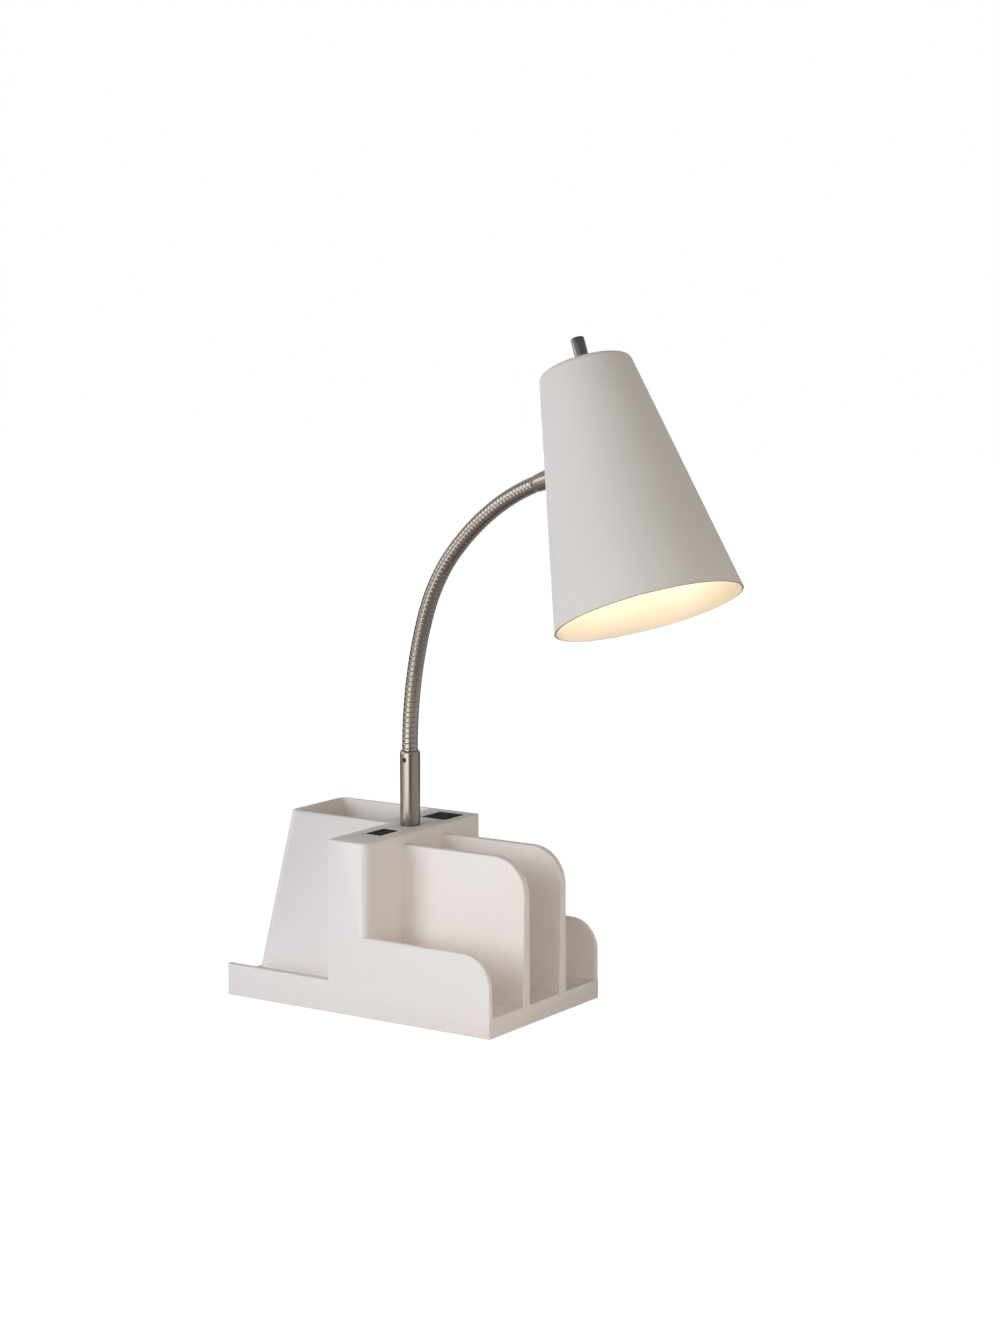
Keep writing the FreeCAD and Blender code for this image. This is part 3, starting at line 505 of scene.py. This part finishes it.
def makeNeck():
    # one piece about each hinge
    winding = makeWinding()
    stretch = flexible / neck["stretches"]
    reach = neck["blendReach"] * stretch
    for number, nodes in enumerate(neck["skins"]):
        hinge = stretch * (number + 1)
        start = None if number == 0 else hinge - stretch / 2
        end = None if number == len(neck["skins"]) - 1 else hinge + stretch / 2
        piece = cutStretch(winding, f"neck_winding_{number + 1}", start, end)
        dress(piece, finishes["neckNickel"])
        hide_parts(*[f"neck_stretch_{node}" for node in nodes])
        alongNeck(hinge - reach)[0]
        alongNeck(hinge + reach)[0]
        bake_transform(piece)
    bpy.data.objects.remove(winding)


makeNeck()
print("gooseneck made")

# Post sleeve at the foot of the neck, with the hole of its set screw at the front
sleeve = {
    "foot": 136.5, "radius": 7.85, "shoulder": 6.8, "taper": 2.6, "mouth": 6.3, "mouthDepth": 6,
    "screwRadius": 1.7, "screwFlare": 1, "screwHeight": 189, "drillDepth": 4,
}


def makeSleeve():
    foot, radius, mouth = sleeve["foot"], sleeve["radius"], sleeve["mouth"]
    across, away, top = neck["foot"]
    piece = turnPiece("post_sleeve", [
        (radius - 0.5, foot), (radius, foot + 0.4), (radius, top - sleeve["taper"]),
        (radius - 0.25, top - 1.1), (sleeve["shoulder"], top), (mouth + 0.15, top - 0.1),
        (mouth, top - 0.6), (mouth, top - sleeve["mouthDepth"])])
    bpy.ops.object.select_all(action="DESELECT")
    bpy.ops.mesh.primitive_cone_add(
        vertices=24, radius1=mm(sleeve["screwRadius"]), depth=mm(sleeve["drillDepth"]),
        radius2=mm(sleeve["screwRadius"] + sleeve["screwFlare"]), rotation=(math.radians(90), 0, 0),
        location=(0, -mm(radius + 1), mm(sleeve["screwHeight"])))
    drill = named("screw_hole_drill")
    finishModifier(piece, "BOOLEAN", object=drill, operation="DIFFERENCE", solver="EXACT")
    bpy.data.objects.remove(drill)
    smoothSurface(piece)
    settle(piece, Matrix.Translation((mm(across), mm(away), 0)))
    dress(piece, finishes["sleeveNickel"], "base")
    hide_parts("neck_sleeve")


makeSleeve()
print("sleeve made")

# Shade, and the place of the head: it is made about the shade's axis with the crown at height 0.
# The neck comes in through the side of the shade, a little off square to it.
shade = {
    "length": 184, "mouth": 68.5, "crown": 33.3, "wall": 1.3, "shoulder": 5, "shoulderSteps": 8,
    "bands": 4, "hole": 5.2, "edge": 0.2, "sides": 144, "entryDepth": 62.5, "entryTilt": 4.7,
}
ferrule = {
    "length": 38.5, "radius": 7.1, "bore": 6.3, "boreDepth": 6, "flare": 11, "grooveWidth": 1.4,
    "grooveDepth": 0.4, "grooveFromWall": 0.8, "spigot": 4.9, "spigotLength": 8, "edge": 0.15,
}
coneAngle = math.atan((shade["mouth"] - shade["crown"]) / shade["length"])
neckEnd, neckWay = alongNeck(flexible)
lean = math.asin(neckWay.z) + coneAngle - math.radians(shade["entryTilt"])
headAcross = outwards * math.cos(lean) + upwards * math.sin(lean)
headUp = upwards * math.cos(lean) - outwards * math.sin(lean)
entryRadius = shade["crown"] + math.tan(coneAngle) * shade["entryDepth"]
entry = neckEnd + neckWay * mm(ferrule["length"])
headPlace = standIn(headUp, headAcross,
                    entry + headAcross * mm(entryRadius) + headUp * mm(shade["entryDepth"]))


def makeShade():
    steps = [(shade["hole"], 0)]
    turned = math.radians(90) - coneAngle
    middle = shade["crown"] - shade["shoulder"] * math.tan(turned / 2)
    for step in range(shade["shoulderSteps"] + 1):
        turn = turned * step / shade["shoulderSteps"]
        steps.append((middle + shade["shoulder"] * math.sin(turn),
                      shade["shoulder"] * (math.cos(turn) - 1)))
    for band in range(1, shade["bands"] + 1):
        depth = shade["length"] * band / shade["bands"]
        steps.append((shade["crown"] + math.tan(coneAngle) * depth, -depth))
    piece = turnPiece("spun_shade", steps, shade["sides"])
    chooseFaces(piece, lambda face: len(face.vertices) > 4)     # the discs at the hole and the mouth
    bpy.ops.mesh.delete(type="FACE")
    bpy.ops.mesh.select_all(action="SELECT")
    bpy.ops.mesh.normals_make_consistent(inside=False)
    bpy.ops.object.mode_set(mode="OBJECT")
    # the third finish goes on the rim, darkened as painted shade where it faces down
    for finish in ("shadeOutside", "shadeInside", "rimPaintedShade"):
        piece.data.materials.append(finishes[finish])
    finishModifier(piece, "SOLIDIFY", thickness=mm(shade["wall"]), offset=-1, material_offset=1,
                   material_offset_rim=2, use_even_offset=True)
    roundEdges(piece, shade["edge"], 2, 60)
    smoothSurface(piece, 40)
    settle(piece, headPlace)
    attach(piece, "head")
    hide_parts("lamp_shade")


makeShade()
print("shade made")


def makeFerrule():
    # its inner end runs on through the shade's wall, so that the joint is closed
    radius, length, bore = ferrule["radius"], ferrule["length"], ferrule["bore"]
    grooveEnd = length - ferrule["grooveFromWall"]
    grooveStart = grooveEnd - ferrule["grooveWidth"]
    depth = ferrule["grooveDepth"]
    piece = turnPiece("shade_ferrule_turned", [
        (bore, ferrule["boreDepth"]), (bore, 0.2), (bore + 0.2, 0), (radius - 0.3, 5),
        (radius, ferrule["flare"]), (radius, grooveStart), (radius - depth, grooveStart + depth),
        (radius - depth, grooveEnd - depth), (radius, grooveEnd), (radius, length + 1.2),
        (ferrule["spigot"], length + 1.3), (ferrule["spigot"], length + ferrule["spigotLength"])])
    roundEdges(piece, ferrule["edge"], 2)
    smoothSurface(piece)
    across = neckWay.cross(outwards.cross(upwards)).normalized()
    settle(piece, standIn(neckWay, across, neckEnd))
    # the third colour is a painted reflection that darkens the ferrule's outlines
    nickel = satinNickel("satin nickel, ferrule", "80776E", "79706A", "3E3833", 0.24, neckWay)
    dress(piece, nickel, "head")
    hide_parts("shade_ferrule")


makeFerrule()
print("ferrule made")

# Turn knob on the crown and the nut under it. Their nickel is a darker copy of the neck's, as painted
# shade, with a painted reflection at its outlines.
knob = {"radius": 5, "foot": 1.9, "top": 21.4, "chamfer": 0.5, "dimple": 1.6, "edge": 0.15, "sides": 64}
nut = {"acrossFlats": 11.4, "height": 1.5, "face": 0.5, "edge": 0.2}
knobNickelPaintedShade = satinNickel("satin nickel, knob", "6A6764", "625F5C", "2E2C2A", 0.2, headUp)


def makeKnob():
    radius, foot, top, dimple = knob["radius"], knob["foot"], knob["top"], knob["dimple"]
    piece = turnPiece("switch_knob_turned", [
        (radius - 0.6, foot), (radius, foot + 0.4), (radius, top - 0.8),
        (radius - knob["chamfer"], top), (dimple, top), (dimple - 0.4, top - 0.3)], knob["sides"])
    roundEdges(piece, knob["edge"], 2, 25)
    smoothSurface(piece)
    settle(piece, headPlace)
    dress(piece, knobNickelPaintedShade, "knob")
    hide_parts("switch_knob")


def makeNut():
    bpy.ops.object.select_all(action="DESELECT")
    bpy.ops.mesh.primitive_cylinder_add(
        vertices=6, radius=mm(nut["acrossFlats"] / math.sqrt(3)), depth=mm(nut["height"]),
        location=(0, 0, mm(nut["height"] / 2)))
    piece = named("switch_nut_hex")
    bpy.ops.object.transform_apply(location=True, rotation=False, scale=False)
    chooseFaces(piece, lambda face: face.normal.z > 0.9)
    bpy.ops.mesh.inset(thickness=mm(nut["face"]), depth=0)
    bpy.ops.object.mode_set(mode="OBJECT")
    roundEdges(piece, nut["edge"], 2)
    smoothSurface(piece)
    settle(piece, headPlace)
    dress(piece, knobNickelPaintedShade, "head")
    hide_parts("switch_nut")


makeKnob()
makeNut()
print("knob and nut made")

# Bulb: a dome over a collar that narrows towards its cap
bulb = {
    "radius": 22.5, "middle": -88, "domeSteps": 14, "sides": 64, "edge": 0.3,
    "collar": ((19.5, -78), (16.2, -70), (14.2, -64), (13.6, -62.5), (12.7, -62), (12.7, -36)),
}


def makeBulb():
    radius, middle = bulb["radius"], bulb["middle"]
    steps = []
    for step in range(1, bulb["domeSteps"] + 1):
        turn = math.radians(180 - 90 * step / bulb["domeSteps"])
        steps.append((radius * math.sin(turn), middle + radius * math.cos(turn)))
    dome = turnPiece("bulb_dome", steps, bulb["sides"])
    smoothSurface(dome, 60)
    settle(dome, headPlace)
    dress(dome, finishes["litDome"], "head")
    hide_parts("bulb_globe")
    collar = turnPiece("bulb_collar", [
        (radius - 0.4, middle), (radius, middle + 0.6), (radius - 0.6, middle + 3),
        *bulb["collar"]], bulb["sides"])
    roundEdges(collar, bulb["edge"], 2, 20)
    smoothSurface(collar, 30)
    settle(collar, headPlace)
    dress(collar, finishes["phenolic"], "head")
    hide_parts("bulb_body")


makeBulb()
print("bulb made")

# CAD nodes that are shown as they are, in their own finishes
shownNodes = {
    "bottom_cover": "greyAbs", "cover_screws": "steel", "foam_pad": "foam",
    "ballast_plate": "blackSteel", "usb_shell": "steel", "usb_tongue": "phenolic",
    "charger_board": "board", "charger_transformer": "jacket", "charger_capacitor": "jacket",
    "outlet_contacts": "brass", "cord_bush": "blackPort", "terminal_block": "phenolic",
    "neck_nipple": "steel", "nipple_washer": "steel", "nipple_nut": "steel",
    "sleeve_set_screw": "blackSteel", "ferrule_nut": "steel", "lamp_holder": "phenolic",
    "holder_screw_shell": "brass", "holder_contact": "brass", "switch_shaft": "steel",
    "bulb_cap": "aluminium", "bulb_contact": "brass",
}


def dressNodes():
    leads = {node: "jacket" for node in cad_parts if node.startswith("lead_stretch")}
    for node, finish in {**shownNodes, **leads}.items():
        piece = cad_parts[node]
        piece.data.materials.clear()
        piece.data.materials.append(finishes[finish])


dressNodes()
print("CAD nodes dressed")

# Stage, in metres: a white floor under a dome of light that is stronger at the horizon
stage = {
    "floorSize": 12, "ground": 0, "paper": "F2F2F2", "paperGlow": 1.25, "paperShare": 0.82,
    "horizonLight": 0.55, "zenithLight": 0.17, "zenithFrom": 0.8, "cardRing": 0.9,
}
# the photo's camera: its place in metres, its turns in degrees and its focal length in pixels
shot = {
    "place": (1.2984, -1.8178, 0.5684), "pitch": 7.78, "yaw": 33.76,
    "focalPixels": 2900, "photoHeight": 1333, "sensor": 36,
}


def paleStage(material):
    # 1 for the camera, for gloss and for glass, which see white, and 0 for diffuse light
    path = addNode(material, "ShaderNodeLightPath")
    seen = addNode(material, "ShaderNodeMath", {"operation": "MAXIMUM"},
                   [(0, path, "Is Camera Ray"), (1, path, "Is Glossy Ray")])
    return addNode(material, "ShaderNodeMath", {"operation": "MAXIMUM"},
                   [(0, seen, 0), (1, path, "Is Transmission Ray")])


def makeFloor():
    bpy.ops.object.select_all(action="DESELECT")
    bpy.ops.mesh.primitive_plane_add(size=stage["floorSize"], location=(0, 0, stage["ground"]))
    floor = named("studio_floor")
    material = newMaterial("white studio paper")
    seen = paleStage(material)
    paper = addNode(material, "ShaderNodeBsdfDiffuse", {"Color": paint(stage["paper"])})
    glow = addNode(material, "ShaderNodeEmission", {"Strength": stage["paperGlow"]})
    share = addNode(material, "ShaderNodeMath", {"operation": "MULTIPLY", 1: stage["paperShare"]},
                    [(0, seen, 0)])
    mix = addNode(material, "ShaderNodeMixShader",
                  links=[(0, share, 0), (1, paper, "BSDF"), (2, glow, "Emission")])
    addNode(material, "ShaderNodeOutputMaterial", links=[("Surface", mix, "Shader")])
    floor.data.materials.append(material)


def makeWorld():
    world = bpy.data.worlds.new("white studio")
    bpy.context.scene.world = world
    world.use_nodes = True
    world.node_tree.nodes.clear()
    seen = paleStage(world)
    place = addNode(world, "ShaderNodeTexCoord")
    height = addNode(world, "ShaderNodeSeparateXYZ", links=[("Vector", place, "Generated")])
    dome = addNode(world, "ShaderNodeMapRange",
                   {"From Max": stage["zenithFrom"], "To Min": stage["horizonLight"],
                    "To Max": stage["zenithLight"]}, [("Value", height, "Z")])
    strength = addNode(world, "ShaderNodeMapRange", {"To Max": 1},
                       [("Value", seen, 0), ("To Min", dome, "Result")])
    sky = addNode(world, "ShaderNodeBackground", {"Color": paint("FFFFFF")},
                  [("Strength", strength, "Result")])
    addNode(world, "ShaderNodeOutputWorld", links=[("Surface", sky, "Background")])


def addLamp(name, place, target, measures, power, colour):
    facing = (Vector(target) - Vector(place)).to_track_quat("-Z", "Y").to_euler()
    bpy.ops.object.light_add(type="AREA", location=place, rotation=facing)
    lamp = bpy.context.object
    lamp.name = name
    lamp.data.shape = "RECTANGLE"
    lamp.data.size, lamp.data.size_y = measures
    lamp.data.energy = power
    lamp.data.color = paint(colour)[:3]
    lamp.visible_glossy = False     # gloss mirrors the cards below in its place


def addCard(name, place, turn, measures, strength):
    # a card that shows only in what mirrors it
    bpy.ops.object.select_all(action="DESELECT")
    bpy.ops.mesh.primitive_plane_add(size=1, location=place, rotation=turn)
    card = named(name.replace(" ", "_"))
    card.scale = (*measures, 1)
    face = newMaterial(name)
    glow = addNode(face, "ShaderNodeEmission", {"Strength": strength})
    addNode(face, "ShaderNodeOutputMaterial", links=[("Surface", glow, "Emission")])
    card.data.materials.append(face)
    card.visible_camera = card.visible_diffuse = card.visible_shadow = False


def bearingAngle(bearing):
    # bearings are in degrees about the lamp, with 0 towards the camera
    return math.radians(shot["yaw"] - 90 + bearing)


def addUprightCard(name, bearing, width, low, high, strength):
    # stands in the ring of cards about the lamp
    angle, ring = bearingAngle(bearing), stage["cardRing"]
    place = (math.cos(angle) * ring, math.sin(angle) * ring, (low + high) / 2)
    turn = (math.radians(90), 0, angle + math.radians(90))
    addCard(name, place, turn, (width, high - low), strength)


def addFloorCard(name, bearing, near, far, width, height, strength):
    # lies over the floor, from one distance to another out from the lamp
    angle, middle = bearingAngle(bearing), (near + far) / 2
    place = (math.cos(angle) * middle, math.sin(angle) * middle, height)
    addCard(name, place, (0, 0, angle), (far - near, width), strength)


def makeLight():
    addLamp("tall softbox", place=(-0.85, -2.05, 0.8), target=(0, 0, 0.25), measures=(0.9, 1.5),
            power=24.2, colour="E8F1FF")
    addLamp("warm fill lamp", place=(2.1, -1, 0.5), target=(0, 0, 0.15), measures=(0.9, 0.9),
            power=8.2, colour="FFFAF6")
    addUprightCard("white card", bearing=-42, width=0.85, low=0, high=0.5, strength=4.6)
    addUprightCard("white card at the left", bearing=-98, width=0.6, low=0.22, high=0.6, strength=3.8)
    addFloorCard("white card on the floor", bearing=-58, near=0.5, far=0.85, width=0.6,
                 height=0.002, strength=3.8)
    addUprightCard("black card at the camera", bearing=6, width=0.52, low=0, high=0.5, strength=0.3)
    addUprightCard("black card at the back left", bearing=-150, width=1.1, low=0, high=0.34,
                   strength=0.05)
    addUprightCard("black card at the back right", bearing=150, width=1.1, low=0, high=0.34,
                   strength=0.05)
    addFloorCard("black card on the floor", bearing=0, near=-0.5, far=0.5, width=1,
                 height=0.003, strength=0.6)
    addCard("black card overhead", place=(0, 0, 1.25), turn=(0, 0, 0), measures=(3, 3), strength=0.5)


def makeCamera():
    turn = (math.radians(90 - shot["pitch"]), 0, math.radians(shot["yaw"]))
    bpy.ops.object.camera_add(location=shot["place"], rotation=turn)
    camera = bpy.context.object
    camera.data.sensor_width = shot["sensor"]
    camera.data.lens = shot["focalPixels"] / shot["photoHeight"] * shot["sensor"]
    bpy.context.scene.camera = camera


makeFloor()
makeWorld()
makeLight()
makeCamera()
bpy.context.scene.view_settings.view_transform = "Standard"
print("stage set")
